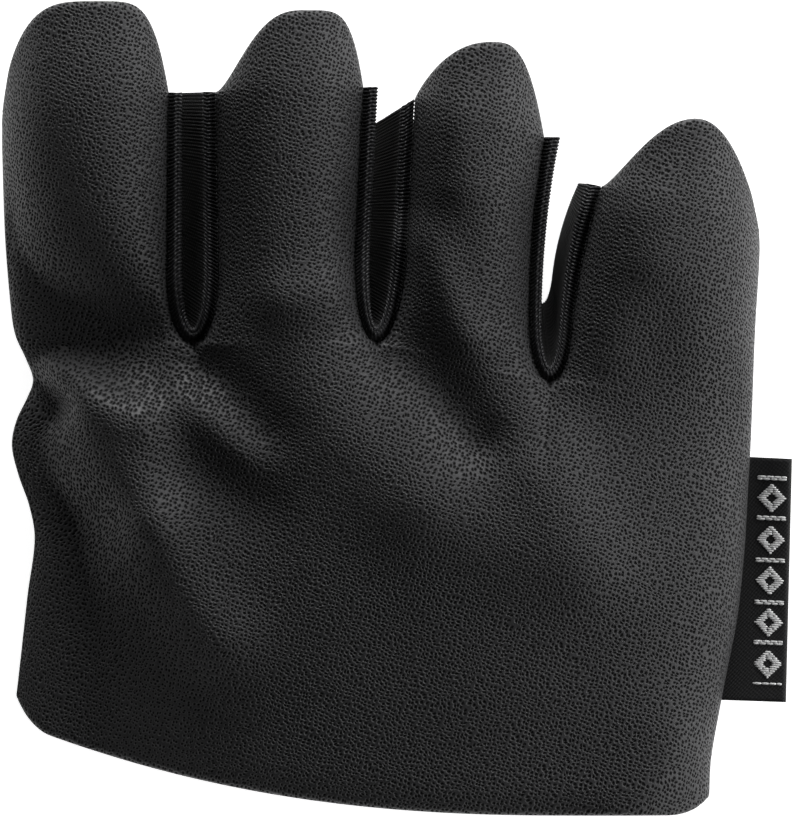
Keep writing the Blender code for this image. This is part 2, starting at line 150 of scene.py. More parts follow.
# Folds of the palm, negative for a dent: x and half_width are shares of the width, y is one of the length
# and height is one of PALM_RISE
Fold = namedtuple("Fold", "name x0 y0 x1 y1 half_width height")
FOLDS = (
    Fold("thumb_ridge", 0.064, 0.545, 0.183, 0.486, 0.035, 0.19),
    Fold("long_ridge", 0.075, 0.535, 0.185, 0.370, 0.050, 0.26),
    Fold("long_ridge_low", 0.200, 0.325, 0.278, 0.215, 0.060, 0.19),
    Fold("thumb_pad", 0.110, 0.480, 0.195, 0.443, 0.063, 0.10),
    Fold("heel_slope", -0.030, 0.365, 0.050, 0.070, 0.320, -0.38),
    Fold("index_valley", 0.018, 0.615, 0.196, 0.580, 0.050, -0.24),
    Fold("index_slope", 0.000, 0.695, 0.077, 0.615, 0.105, -0.26),
    Fold("thumb_dimple", 0.044, 0.520, 0.066, 0.503, 0.023, -0.32),
    Fold("thumb_bump", 0.050, 0.427, 0.097, 0.410, 0.032, 0.08),
    Fold("thumb_slope", 0.010, 0.470, 0.060, 0.250, 0.110, -0.14),
    Fold("middle_crease", 0.275, 0.550, 0.347, 0.474, 0.036, -0.13),
    Fold("middle_slope", 0.314, 0.578, 0.354, 0.510, 0.059, -0.05),
    Fold("middle_ridge", 0.253, 0.503, 0.323, 0.448, 0.032, 0.09),
    Fold("palm_dent", 0.256, 0.432, 0.331, 0.383, 0.047, -0.10),
    Fold("middle_knuckle", 0.374, 0.633, 0.433, 0.640, 0.037, 0.10),
    Fold("ring_crease", 0.540, 0.562, 0.626, 0.464, 0.038, -0.13),
    Fold("ring_crease_end", 0.640, 0.455, 0.690, 0.470, 0.034, -0.05),
    Fold("ring_slope", 0.550, 0.590, 0.610, 0.510, 0.055, -0.04),
    Fold("ring_ridge", 0.555, 0.700, 0.612, 0.590, 0.034, 0.11),
    Fold("ring_tip", 0.595, 0.840, 0.600, 0.780, 0.045, 0.09),
    Fold("ring_pad", 0.426, 0.504, 0.539, 0.388, 0.075, 0.13),
    Fold("ring_pad_low", 0.581, 0.375, 0.680, 0.323, 0.075, 0.10),
    Fold("little_ridge", 0.694, 0.461, 0.773, 0.314, 0.060, 0.12),
    Fold("little_flank", 0.805, 0.732, 0.790, 0.572, 0.053, 0.12),
    Fold("little_pad", 0.861, 0.738, 0.861, 0.690, 0.050, 0.09),
    Fold("little_crease", 0.815, 0.515, 0.974, 0.500, 0.075, -0.10),
    Fold("hem_corner", 0.830, 0.000, 0.890, 0.075, 0.060, 0.13),
)

# Shape of the cross-sections. A fold fades out where the lift is below FOLD_FADE_LIFT, and the palm keeps
# LEAST_RISE of its plain height under every dent.
PALM_ROUND = 2.6
BACK_ROUND = 3.2
FINGER_ROUND = 2.2
SLIT_DIP = 0.44
ARCH_POWER = 2.3
BACK_FILL = 1.10
BACK_FLAT_HALF = 0.35
FOLD_FADE_LIFT = 0.60
LEAST_RISE = 0.36
LEAST_RISE_BLEND = 0.02

# Where the one round section turns into four fingers, as shares of the length past the web
Blend = namedtuple("Blend", "start end")
FINGER_BLEND = Blend(-0.10, 0.18)
SLIT_DIP_BLEND = Blend(-0.15, 0.18)
BACK_SLIT_BLEND = Blend(-0.125, 0.03)

# Edges of the cloth: how far the panels lap at the seam, how far the outer face rolls in and sinks beside a
# band, and how wide the turned hems are
SEAM_LAP = 0.0004
LEATHER_ROLL = 0.00085
LEATHER_SINK = 0.00060
SINK_REACH = 0.0013
BACK_ROLL = 0.00065
BAND_SEWN_GAP = 0.00004
SEWN_BESIDE = 0.0065
SEWN_BELOW = 0.004
SEWN_FADE = 0.002
SEWN_END_FADE = 0.004
LEATHER_TURN = 0.0065
BACK_TURN = 0.0050
UPRIGHT_ROLL_LIFT = 0.5

# Slow unevenness of soft leather
WAVER_HEIGHT = 0.00010
WAVER_PITCH = 0.009
WAVER_FADE = 0.003

# Mesh steps, and how close together a border is sampled
Steps = namedtuple("Steps", "body finger tab hem_edge tab_edge seam slit strip")
PALM_STEPS = Steps(body=82, finger=60, tab=18, hem_edge=7, tab_edge=7, seam=22, slit=22, strip=7)
BACK_STEPS = Steps(body=48, finger=30, tab=0, hem_edge=6, tab_edge=0, seam=16, slit=14, strip=6)
FINGER_CROWDING = 1.6
SLIT_CROWDING = 1.6
HEM_EDGE_SPAN = 0.022
TAB_EDGE_SPAN = 0.10
WELD = 2e-6
BORDER_SAMPLE = 0.00006
ON_BORDER = 0.6 * BORDER_SAMPLE
MM = 1000.0


def mix(a, b, share):
    return a + (b - a) * share


def ease(value):
    """A smooth step from 0 to 1."""
    value = np.clip(value, 0.0, 1.0)
    return value * value * (3 - 2 * value)


def along(table, place):
    """The height, at a place, of a smooth curve through the table's rows of place and height."""
    places, heights = np.array(table, float).T
    before = np.maximum(np.arange(len(table)) - 1, 0)
    after = np.minimum(np.arange(len(table)) + 1, len(table) - 1)
    slopes = (heights[after] - heights[before]) / (places[after] - places[before])
    place = np.clip(place, places[0], places[-1])
    i = np.clip(np.searchsorted(places, place, side="right") - 1, 0, len(table) - 2)
    span = places[i + 1] - places[i]
    s = (place - places[i]) / span
    return (
        (2 * s**3 - 3 * s**2 + 1) * heights[i]
        + (s**3 - 2 * s**2 + s) * span * slopes[i]
        + (3 * s**2 - 2 * s**3) * heights[i + 1]
        + (s**3 - s**2) * span * slopes[i + 1]
    )


def corner_lift(distance, corner):
    """How far a hem corner is rounded up, at a distance from the side as a share of the hem."""
    return corner.climb * np.maximum(0.0, 1 - distance / corner.span) ** 2


def hem_y(share):
    """Place of the wrist hem, as a share of the length."""
    sweep = HEM_CLIMB * np.maximum(0.0, 1 - share / HEM_LOW_X) ** HEM_POWER
    return sweep + corner_lift(share, HEM_CORNER_LEFT) + corner_lift(1 - share, HEM_CORNER_RIGHT)


def to_x(share):
    return PALM_LOW.x + share * GLOVE_WIDTH


def to_y(share):
    return PALM_LOW.y + share * GLOVE_LENGTH


def share_of_y(y):
    return (y - PALM_LOW.y) / GLOVE_LENGTH


def side_x(side, y_share):
    """The glove's edge on side -1, the index finger's, or 1, the little finger's."""
    return to_x(along(LEFT_EDGE if side < 0 else RIGHT_EDGE, y_share))


def slit_middle(slit, climb):
    return mix(to_x(slit.foot_x), to_x(slit.mouth_x), climb**slit.bend)


def slit_point(slit, side, climb, depth, inset=0.0):
    """A point on one side of a slit, at a climb of 0 at its foot and 1 at its mouth, inset into the slit."""
    rounding = np.sqrt(1 - (1 - np.minimum(climb / slit.rounded, 1.0)) ** 2)
    half = (BAND_SLOT / 2 + BAND_WALL + SEW_GAP - inset) * rounding * mix(slit.low, slit.high, climb)
    lean = depth * slit.lean * BAND_SLOT
    foot = to_y(slit.foot_y + depth * slit.foot_climb) + inset
    end = to_y(slit.left_y) if side < 0 else to_y(slit.right_y) - slit.slant * (lean + inset)
    return slit_middle(slit, climb) + side * half - lean, mix(foot, end, climb)


def finger_side(index, side, climb, depth):
    """A point on one side of a finger: a slit's edge, or the outer seam."""
    slit_index = index if side > 0 else index - 1
    if 0 <= slit_index < len(SLITS):
        return slit_point(SLITS[slit_index], -side, climb, depth)
    web, opening = (WEB_LEFT_Y, OPENING_LEFT_Y) if side < 0 else (WEB_RIGHT_Y, OPENING_RIGHT_Y)
    y_share = mix(web, opening, climb)
    return side_x(side, y_share), to_y(y_share)


def finger_point(index, lateral, climb, depth):
    """A point across a finger: lateral is 0 on its left side and 1 on its right side."""
    left = finger_side(index, -1, climb, depth)
    right = finger_side(index, 1, climb, depth)
    return mix(left[0], right[0], lateral), mix(left[1], right[1], lateral)


def body_point(index, lateral, reach, depth):
    """A point of a panel below the fingers: reach is 0 at the hem and 1 at the web."""
    web_x, web_y = finger_point(index, lateral, 0.0, depth)
    web_share_y = share_of_y(web_y)
    left, right = side_x(-1, web_share_y), side_x(1, web_share_y)
    web_share = (web_x - left) / (right - left)
    hem_share = (index + lateral) / len(FINGERS)
    share = mix(hem_share, web_share, reach)
    y_share = mix(hem_y(hem_share), web_share_y, reach)
    return mix(side_x(-1, y_share), side_x(1, y_share), share), to_y(y_share)


def tab_outline(index, lateral):
    """A point on the outline of a finger's tab, in front of the finger opening."""
    finger = FINGERS[index]
    left = finger_side(index, -1, 1.0, 0.0)
    right = finger_side(index, 1, 1.0, 0.0)
    x = mix(left[0], right[0], lateral)
    tip_x, tip_y = to_x(finger.tip_x), to_y(finger.tip_y)
    on_left = x < tip_x
    end_x = np.where(on_left, left[0], right[0])
    end_y = np.where(on_left, left[1], right[1])
    power = np.where(on_left, finger.left_power, finger.right_power)
    flare = np.where(on_left, finger.left_flare, finger.right_flare)
    out = np.clip(np.abs(x - tip_x) / np.abs(end_x - tip_x), 0.0, 1.0)
    return x, mix(end_y, tip_y, (1 - out**power) ** flare)


def plan_point(index, lateral, reach, depth):
    """Points of a panel in plan, at reaches of 0 to 3 as in PALM_PROFILE."""
    body = body_point(index, lateral, np.clip(reach, 0, 1), depth)
    finger = finger_point(index, lateral, np.clip(reach - 1, 0, 1), depth)
    foot, tip = finger_point(index, lateral, 1.0, depth), tab_outline(index, lateral)
    tab = [mix(foot[axis], tip[axis], np.clip(reach - 2, 0, 1)) for axis in (0, 1)]
    return [
        np.where(reach <= 1, body[axis], np.where(reach <= 2, finger[axis], tab[axis])) for axis in (0, 1)
    ]


def dome(offset, power):
    """Height of a rounded cross-section, 1 in the middle and 0 at an offset of 1 either way."""
    return np.maximum(0.0, 1 - np.minimum(np.abs(offset), 1.0) ** power) ** (1 / power)


def blended(blend, index, lateral, y, depth):
    """How far a change that follows the web has come at a place, from 0 to 1."""
    web_y = finger_point(index, lateral, 0.0, depth)[1]
    return ease(((y - web_y) / GLOVE_LENGTH - blend.start) / (blend.end - blend.start))


def section_lift(index, lateral, x, y, depth, body_round):
    """Height of the section without its slits, as a share, and whether it is on an outer side.

    It is a dome at the hem, and on a finger it is level with a round outer side.
    """
    y_share = share_of_y(y)
    left, right = side_x(-1, y_share), side_x(1, y_share)
    body = dome(2 * (x - left) / (right - left) - 1, body_round)
    offset = 2 * lateral - 1
    outer = ((index == 0) & (offset < 0)) | ((index == len(FINGERS) - 1) & (offset > 0))
    finger = np.where(outer, dome(offset, FINGER_ROUND), 1.0)
    return mix(body, finger, blended(FINGER_BLEND, index, lateral, y, depth)), outer


def fold_height(x, y):
    """Sum of the palm's folds at a point, as a share of PALM_RISE."""
    total = 0.0
    for fold in FOLDS:
        x0, y0, x1, y1 = to_x(fold.x0), to_y(fold.y0), to_x(fold.x1), to_y(fold.y1)
        dx, dy = x1 - x0, y1 - y0
        share = np.clip(((x - x0) * dx + (y - y0) * dy) / (dx * dx + dy * dy), 0.0, 1.0)
        gap = np.hypot(x - x0 - share * dx, y - y0 - share * dy)
        total = total + fold.height * np.exp(-((gap / (fold.half_width * GLOVE_WIDTH)) ** 2))
    return total


def palm_z(index, lateral, reach, x, y):
    """Height of the leather's outer face, and the section's lift there."""
    lift, outer = section_lift(index, lateral, x, y, 0, PALM_ROUND)
    dip = SLIT_DIP * blended(SLIT_DIP_BLEND, index, lateral, y, 0)
    lift = lift * np.where(outer, 1.0, 1 - dip * np.abs(2 * lateral - 1) ** ARCH_POWER)
    plain = lift * along(PALM_PROFILE, reach)
    over = (1 - LEAST_RISE) * plain + fold_height(x, y) * ease(lift / FOLD_FADE_LIFT)
    rise = LEAST_RISE * plain + (over + np.hypot(over, LEAST_RISE_BLEND)) / 2
    return PALM_RIM + SEAM_STRIP + rise * (PALM_RISE - SEAM_STRIP), lift


def palm_sewn_z(_side, _y):
    """Height of the leather's edge where it is sewn to the back, which is level."""
    return PALM_RIM - SEAM_LAP


def label_opening(y):
    """How far the seam opens at a place to let the label in."""
    beyond = np.abs(y - to_y(LABEL_MIDDLE_Y)) - LABEL_LENGTH / 2 - LABEL_RAMP
    return (LABEL_THICKNESS + SEW_GAP) * ease(1 - beyond / LABEL_RAMP)


def back_rim_z(side, y):
    """Height of the back panel's seam edge, which dips under the label on the little finger's side."""
    return BACK_RIM - (label_opening(y) if side > 0 else 0.0)


def back_sewn_z(side, y):
    """Height of the back's edge where it is sewn to the leather."""
    return back_rim_z(side, y) + SEAM_LAP


def back_z(index, lateral, _reach, x, y):
    """Height of the back's outer face, which is flat on the surface below, and the section's lift there."""
    lift, outer = section_lift(index, lateral, x, y, 1, BACK_ROUND)
    top = back_rim_z(1 if index >= len(FINGERS) / 2 else -1, y) - SEAM_STRIP
    z = top * (1 - np.minimum(1.0, BACK_FILL * lift))
    beside = np.maximum(0.0, (np.abs(2 * lateral - 1) - BACK_FLAT_HALF) / (1 - BACK_FLAT_HALF))
    climb = blended(BACK_SLIT_BLEND, index, lateral, y, 1)
    return z + np.where(outer, 0.0, BAND_BACK_HEIGHT * climb * beside**ARCH_POWER), lift


def edge_steps(count, span, edge_count):
    """Places from 0 to 1 that are crowded in a short span at the start."""
    near = [span * (1 - math.cos(math.pi / 2 * i / edge_count)) for i in range(edge_count)]
    return near + [mix(span, 1.0, i / count) for i in range(count + 1)]


def laterals(index, steps):
    """Places of the columns across a finger, closer together beside a seam or a slit.

    With them come their places down the upright seam strip, from 0 at its top to 1 at the rim.
    """
    slit_half = [0.5 * (1 - (i / steps.slit) ** SLIT_CROWDING) for i in range(steps.slit, -1, -1)]
    angles = [math.pi / 2 * i / steps.seam for i in range(steps.seam)]
    seam_half = [0.0] + [0.5 * math.cos(angle) ** (2 / FINGER_ROUND) for angle in reversed(angles)]
    left = seam_half if index == 0 else slit_half
    right = seam_half if index == len(FINGERS) - 1 else slit_half
    across = [0.5 - half for half in reversed(left)] + [0.5 + half for half in right[1:]]
    strip = [0.0] * len(across)
    down = [1 - math.cos(math.pi / 2 * i / steps.strip) for i in range(steps.strip, 0, -1)]
    if index == 0:
        across, strip = [0.0] * len(down) + across, down + strip
    if index == len(FINGERS) - 1:
        across, strip = across + [1.0] * len(down), strip + down[::-1]
    return np.array(across), np.array(strip)


def reaches(steps):
    """Rows of a panel, from the hem up, and the number of the web's row."""
    rows = edge_steps(steps.body, HEM_EDGE_SPAN, steps.hem_edge)
    web_row = len(rows) - 1
    rows += [1 + ((row + 1) / steps.finger) ** FINGER_CROWDING for row in range(steps.finger)]
    if steps.tab:
        rows += [3 - place for place in edge_steps(steps.tab, TAB_EDGE_SPAN, steps.tab_edge)[-2::-1]]
    return np.array(rows), web_row


def cloth_places(strips, web_row):
    """Places on the flat cloth, in millimetres, of each strip's points.

    Across they follow the surface from strip to strip, and up they are the places in plan, so that the
    grain is round from above. Past the web each finger is measured from its own middle column.
    """
    arcs = []
    for points in strips:
        across = np.linalg.norm(np.diff(points, axis=1), axis=2)
        arcs.append(np.hstack([np.zeros((len(points), 1)), np.cumsum(across, 1)]))
    middle = len(strips) // 2
    starts = [None] * len(strips)
    starts[middle] = strips[middle][:, 0, 0]
    for index in range(middle + 1, len(strips)):
        starts[index] = starts[index - 1] + arcs[index - 1][:, -1]
    for index in range(middle - 1, -1, -1):
        starts[index] = starts[index + 1] - arcs[index][:, -1]
    placed = []
    for points, arc, start in zip(strips, arcs, starts):
        centre = points.shape[1] // 2
        at_centre = start + arc[:, centre]
        moved = points[:, centre, 0] - points[web_row, centre, 0]
        on_body = np.arange(len(points)) <= web_row
        at_centre = np.where(on_body, at_centre, at_centre[web_row] + moved)
        u = at_centre[:, None] + arc - arc[:, centre : centre + 1]
        placed.append(np.dstack([u, points[:, :, 1]]) * MM)
    return placed


def base_surface(name, steps, height, rim, depth):
    """The open outer face of a panel as one mesh, with its cloth places and lift as an attribute."""
    rows, web_row = reaches(steps)
    strips, lifts = [], []
    for index in range(len(FINGERS)):
        lateral, strip = laterals(index, steps)
        reach = np.broadcast_to(rows[:, None], (len(rows), len(lateral)))
        lateral = np.broadcast_to(lateral[None, :], reach.shape)
        x, y = plan_point(index, lateral, reach, depth)
        z, lift = height(index, lateral, reach, x, y)
        z = mix(z, rim(1 if index else -1, y), strip[None, :])
        strips.append(np.dstack([x, y, z]))
        lifts.append(lift)
    places = cloth_places(strips, web_row)
    points, kept, faces = [], [], []
    for strip, place, lift in zip(strips, places, lifts):
        first = sum(len(part) for part in points)
        count, width = strip.shape[:2]
        low = first + (np.arange(count - 1)[:, None] * width + np.arange(width - 1)).ravel()
        face = np.stack([low, low + 1, low + width + 1, low + width], 1)
        faces.append(face if depth == 0 else face[:, ::-1])
        points.append(strip.reshape(-1, 3))
        kept.append(np.dstack([place, lift]).reshape(-1, 3))
    mesh = bpy.data.meshes.new(name)
    mesh.from_pydata(np.concatenate(points).tolist(), [], np.concatenate(faces).tolist())
    layer = mesh.attributes.new("cloth", "FLOAT_VECTOR", "POINT")
    layer.data.foreach_set("vector", np.concatenate(kept).astype(np.float32).ravel())
    shape = bmesh.new()
    shape.from_mesh(mesh)
    bmesh.ops.remove_doubles(shape, verts=shape.verts, dist=WELD)
    bmesh.ops.dissolve_degenerate(shape, edges=shape.edges, dist=WELD)
    shape.to_mesh(mesh)
    borders = [[tuple(vertex.co) for vertex in edge.verts] for edge in shape.edges if edge.is_boundary]
    shape.free()
    return mesh, borders


def read(items, field):
    """A mesh's vectors as rows of three numbers."""
    values = np.empty(len(items) * 3)
    items.foreach_get(field, values)
    return values.reshape(-1, 3)


def border_distance(points, borders):
    """How far each point lies from the nearest border edge."""
    samples = []
    for a, b in borders:
        a, b = Vector(a), Vector(b)
        count = max(1, math.ceil((b - a).length / BORDER_SAMPLE))
        samples += [a.lerp(b, i / count) for i in range(count + 1)]
    tree = KDTree(len(samples))
    for i, sample in enumerate(samples):
        tree.insert(sample, i)
    tree.balance()
    return np.array([tree.find(point)[2] for point in points])


def mesh_from(name, points, faces, places, materials, face_material=None):
    """An object with smooth faces and a UV map of its points' cloth places."""
    mesh = bpy.data.meshes.new(name)
    mesh.from_pydata(points.tolist(), [], faces)
    corners = np.empty(len(mesh.loops), int)
    mesh.loops.foreach_get("vertex_index", corners)
    uv = mesh.uv_layers.new(name="cloth")
    uv.uv.foreach_set("vector", places[corners].astype(np.float32).ravel())
    mesh.shade_smooth()
    for material in materials:
        mesh.materials.append(material)
    if face_material is not None:
        mesh.polygons.foreach_set("material_index", face_material)
    made = bpy.data.objects.new(name, mesh)
    bpy.context.scene.collection.objects.link(made)
    return made


def waver(points):
    """A slow unevenness of the cloth, from -1 to 1."""
    return np.array([noise.noise(Vector(point) / WAVER_PITCH) for point in points])


def sewn_share(points, upright):
    """How much each point's border is sewn to a band: 1 along the slits and 0 along the hem and the tabs."""
    sewn = np.zeros(len(points))
    for slit in SLITS:
        foot, end = to_y(slit.foot_y), to_y(min(slit.left_y, slit.right_y))
        climb = np.clip((points[:, 1] - foot) / (end - foot), 0.0, 1.0)
        beside = np.abs(points[:, 0] - slit_middle(slit, climb)) < SEWN_BESIDE
        above = ease((points[:, 1] - foot + SEWN_BELOW) / SEWN_FADE)
        below_end = 1 - ease((points[:, 1] - end) / SEWN_END_FADE + 1)
        sewn = np.maximum(sewn, beside * above * below_end)
    return sewn * upright


def walled(name, base, wall, roll, sink, turn, upwards, materials):
    """A closed cloth wall behind a base surface, with its borders rolled in, and its flat size and its area.

    upwards is 1 where the outer face looks up, and -1 otherwise. The lining shows past the turned hem.
    """
    mesh, borders = base
    points = read(mesh.vertices, "co")
    normals = read(mesh.vertex_normals, "vector")
    kept = read(mesh.attributes["cloth"].data, "vector")
    distance = border_distance(points, borders)
    distance[distance < ON_BORDER] = 0.0
    points = points + normals * (waver(points) * WAVER_HEIGHT * ease(distance / WAVER_FADE))[:, None]
    upright = ease(kept[:, 2] / UPRIGHT_ROLL_LIFT)[:, None]
    drop = mix(normals, np.array([0.0, 0.0, upwards]), upright)
    drop = -drop / np.linalg.norm(drop, axis=1)[:, None]
    left = roll - np.minimum(distance, roll)
    sunk = sink * sewn_share(points, upright[:, 0]) * (1 - ease(distance / SINK_REACH))
    outer = points + drop * (roll - np.sqrt(roll * roll - left * left) + sunk)[:, None]
    reach = np.sqrt(1 - (1 - np.minimum(distance / (wall - roll), 1.0)) ** 2)[:, None]
    inner = mix(points + drop * (roll + sunk)[:, None], points - normals * wall, reach)
    inside = distance > 0
    number = np.where(inside, len(points) + np.cumsum(inside) - 1, np.arange(len(points)))
    faces = [list(face.vertices) for face in mesh.polygons]
    inner_faces = [[int(number[i]) for i in reversed(face)] for face in faces]
    lined = [int(distance[face].min() > turn) for face in faces]
    all_points = np.concatenate([outer, inner[inside]])
    places = np.concatenate([kept[:, :2], kept[inside, :2]])
    made = mesh_from(name, all_points, faces + inner_faces, places, materials, [0] * len(faces) + lined)
    flat = np.ptp(kept[:, :2], axis=0) / MM
    area = sum(face.area for face in mesh.polygons)
    bpy.data.meshes.remove(mesh)
    return made, flat, area


# Bands
RIB_PITCH = 0.00046
STEPS_PER_RIB = 5
RIB_HEIGHT = 0.00020
RIB_LEVEL = 0.7
RIB_CHEVRON = 0.35
BEAD_START = 0.30
BEAD_SHOULDER = 0.27
BEAD_GROOVE = 0.00020
BEAD_GROOVE_HALF = 0.3
BEAD_STEPS = 14
WALL_STEPS = 5
SHOULDER_DROP = 0.0009
ARC_SAMPLES = 3001

# The cross-section's point in the middle of the bead: past two points at the back, one wall, two points at
# the shoulder and half the bead
BEAD_MIDDLE = 2 + WALL_STEPS + 1 + 2 + BEAD_STEPS // 2

# A point of the cross-section: its place across the wall and towards the back, its shares of the heights of
# the back, the sewn edge, the leather and the crest, and how far below that it lies
SectionPoint = namedtuple(
    "SectionPoint", "across depth on_back on_sewn on_leather on_crest below", defaults=(0, 0, 0, 0, 0)
)


def band_section():
    """A band's cross-section, from the back up its sewn face, over the bead and down to the back again."""
    steps = [i / WALL_STEPS for i in range(WALL_STEPS + 1)]
    wall = [SectionPoint(1, step, on_sewn=step, on_leather=1 - step) for step in steps]
    points = [SectionPoint(0.5, 1, on_back=1), SectionPoint(0, 1, on_back=1)]
    points += [point._replace(across=0) for point in reversed(wall)]
    points += [SectionPoint(across, 0, on_crest=1, below=SHOULDER_DROP) for across in (0, BEAD_SHOULDER)]
    radius = BAND_WALL * (1 - BEAD_START) / 2
    for step in range(BEAD_STEPS + 1):
        angle = math.pi * step / BEAD_STEPS
        across = mix(BEAD_START, 1.0, (1 - math.cos(angle)) / 2)
        points.append(SectionPoint(across, 0, on_crest=1, below=(1 - math.sin(angle)) * radius))
    points += wall + [SectionPoint(1, 1, on_back=1)]
    return SectionPoint(*np.array(points, float).T)


def band_rings(slit_index, turns):
    """Rings of points along a band. A turn goes from 1 at the right-hand end over 0 at the foot to -1."""
    slit, section = SLITS[slit_index], band_section()
    climb, right = turns**2, turns >= 0

    def face_z(height, depth, side):
        finger, lateral = (slit_index, 1.0) if side < 0 else (slit_index + 1, 0.0)
        x, y = slit_point(slit, side, climb, depth)
        return height(finger, np.full_like(climb, lateral), 1 + climb, x, y)[0]

    leather = np.where(right, face_z(palm_z, 0.0, 1), face_z(palm_z, 0.0, -1))
    back = np.where(right, face_z(back_z, 1.0, 1), face_z(back_z, 1.0, -1))
    z = (
        section.on_back * back[:, None]
        + section.on_sewn * (back + BACK_WALL + SEAM_STRIP)[:, None]
        + section.on_leather * (leather - LEATHER_WALL - SEAM_STRIP)[:, None]
        + section.on_crest * (leather + BAND_PROUD)[:, None]
        - section.below
    )
    inset = BAND_SEWN_GAP + section.across * (BAND_WALL + SEW_GAP - BAND_SEWN_GAP)
    climbs = np.broadcast_to(climb[:, None], z.shape)
    sides = [slit_point(slit, side, climbs, section.depth, inset) for side in (1, -1)]
    x, y = (np.where(right[:, None], sides[0][axis], sides[1][axis]) for axis in (0, 1))
    return np.dstack([x, y, z])


def path_length(points):
    """How far along a path each of its points lies."""
    return np.concatenate([[0.0], np.cumsum(np.linalg.norm(np.diff(points, axis=0), axis=1))])


def ring_faces(rings, width):
    """Faces between a number of closed rings, each of width points."""
    low = (np.arange(rings - 1)[:, None] * width + np.arange(width)).ravel()
    beside = (np.arange(rings - 1)[:, None] * width + (np.arange(width) + 1) % width).ravel()
    return np.stack([low, beside, beside + width, low + width], 1)


def tube_faces(rings, width):
    """The faces between the rings, and one over each end."""
    last = (rings - 1) * width
    ends = [list(range(width))[::-1], list(range(last, last + width))]
    return ring_faces(rings, width).tolist() + ends


def finger_band(slit_index, material):
    """A ribbed band down one side of a slit, round its foot and up the other side."""
    tried = np.linspace(1, -1, ARC_SAMPLES)
    arc = path_length(band_rings(slit_index, tried)[:, BEAD_MIDDLE])
    count = round(arc[-1] / RIB_PITCH * STEPS_PER_RIB)
    stops = np.linspace(0, arc[-1], count)
    rings = band_rings(slit_index, np.interp(stops, arc, tried))
    around = path_length(rings[count // 2])
    around = around - around[BEAD_MIDDLE]
    places = np.dstack(np.broadcast_arrays(around[None, :], stops[:, None])).reshape(-1, 2) * MM
    points, faces = rings.reshape(-1, 3), tube_faces(*rings.shape[:2])
    made = mesh_from("finger_band_ribs_" + SLITS[slit_index].name, points, faces, places, [material])
    section = band_section()
    off_centre = np.abs(2 * (section.across - BEAD_START) / (1 - BEAD_START) - 1)
    phase = stops[:, None] / RIB_PITCH + RIB_CHEVRON * np.minimum(off_centre, 1.0)
    rib = RIB_HEIGHT * (np.abs(np.cos(np.pi * phase)) - RIB_LEVEL)
    groove = BEAD_GROOVE * section.on_crest * np.exp(-((off_centre / BEAD_GROOVE_HALF) ** 2))
    normals = read(made.data.vertex_normals, "vector")
    moved = points + normals * (rib - groove).reshape(-1, 1)
    made.data.vertices.foreach_set("co", moved.astype(np.float32).ravel())
    made.data.update()
    return made


# Label
LABEL_FOOT_Y = to_y(LABEL_MIDDLE_Y) - LABEL_LENGTH / 2
LABEL_CLOTH = 0.00042
LABEL_ROWS = 64
LABEL_COLUMNS = 26
LABEL_TURNS = 8
LABEL_CURL = 0.0007
LABEL_CURL_FROM = 0.25
LABEL_SAG = 0.0004
LABEL_SAG_TO = 0.5

# Light threads on the label
THREAD_PITCH = 0.00027
THREAD_LENGTH = 0.00085
THREAD_WIDTH = 0.00029
THREAD_HEIGHT = 0.00016
THREAD_LIFT = 0.00004
THREAD_SHIFT = 0.25
THREAD_END_GIRTH = 0.12
THREAD_STEPS = 5
THREAD_SIDES = 6
LOZENGE_PITCH = 0.0053
LOZENGE_HALF = 0.00190
LOZENGE_HOLE = 0.00065
LOZENGE_MIDDLE = 0.00250
MOTIF_LOW = 0.0022
MOTIF_HIGH = 0.0290


def label_fold(up):
    """Where the label's fold lies and how far its tucked edge is from there, at a place up from its foot."""
    low_x = side_x(1, share_of_y(LABEL_FOOT_Y))
    high_x = side_x(1, share_of_y(LABEL_FOOT_Y + LABEL_LENGTH))
    fold_x = mix(low_x + LABEL_REACH_FOOT, high_x + LABEL_REACH_TOP, up / LABEL_LENGTH)
    return fold_x, fold_x - side_x(1, share_of_y(LABEL_FOOT_Y + up)) + LABEL_TUCK


def label_place(inward, up, z):
    """Points of the label, from their places in from the fold and up from the foot and their heights."""
    fold_x, width = label_fold(up)
    share, out = up / LABEL_LENGTH, 1 - inward / width
    free = ease((width - inward - LABEL_TUCK) / (width - LABEL_TUCK))
    curl = LABEL_CURL * ease((share - LABEL_CURL_FROM) / (1 - LABEL_CURL_FROM))
    sag = LABEL_SAG * ease(1 - share / LABEL_SAG_TO)
    return np.dstack([fold_x - inward, LABEL_FOOT_Y + up - LABEL_SLANT * out, z + free * (curl - sag)])[0]


def label_ring(width):
    """A section of the folded label, along its outer face and back along its inner one.

    It gives each point's place inward from the fold, its height and its place on the flat cloth.
    """
    outer = LABEL_THICKNESS / 2
    straight = np.linspace(width, outer, LABEL_COLUMNS)
    level = np.ones(LABEL_COLUMNS)
    angles = np.linspace(0, np.pi, LABEL_TURNS + 2)[1:-1]
    faces = []
    for radius, order in ((outer, slice(None)), (outer - LABEL_CLOTH, slice(None, None, -1))):
        inward = np.concatenate([straight, outer - radius * np.sin(angles), straight[::-1]])
        z = LABEL_HIGH.z - outer + radius * np.concatenate([level, np.cos(angles), -level])
        flat = path_length(np.stack([inward, z], 1))
        faces.append((inward[order], z[order], flat[order]))
    return [np.concatenate(pair) for pair in zip(*faces)]


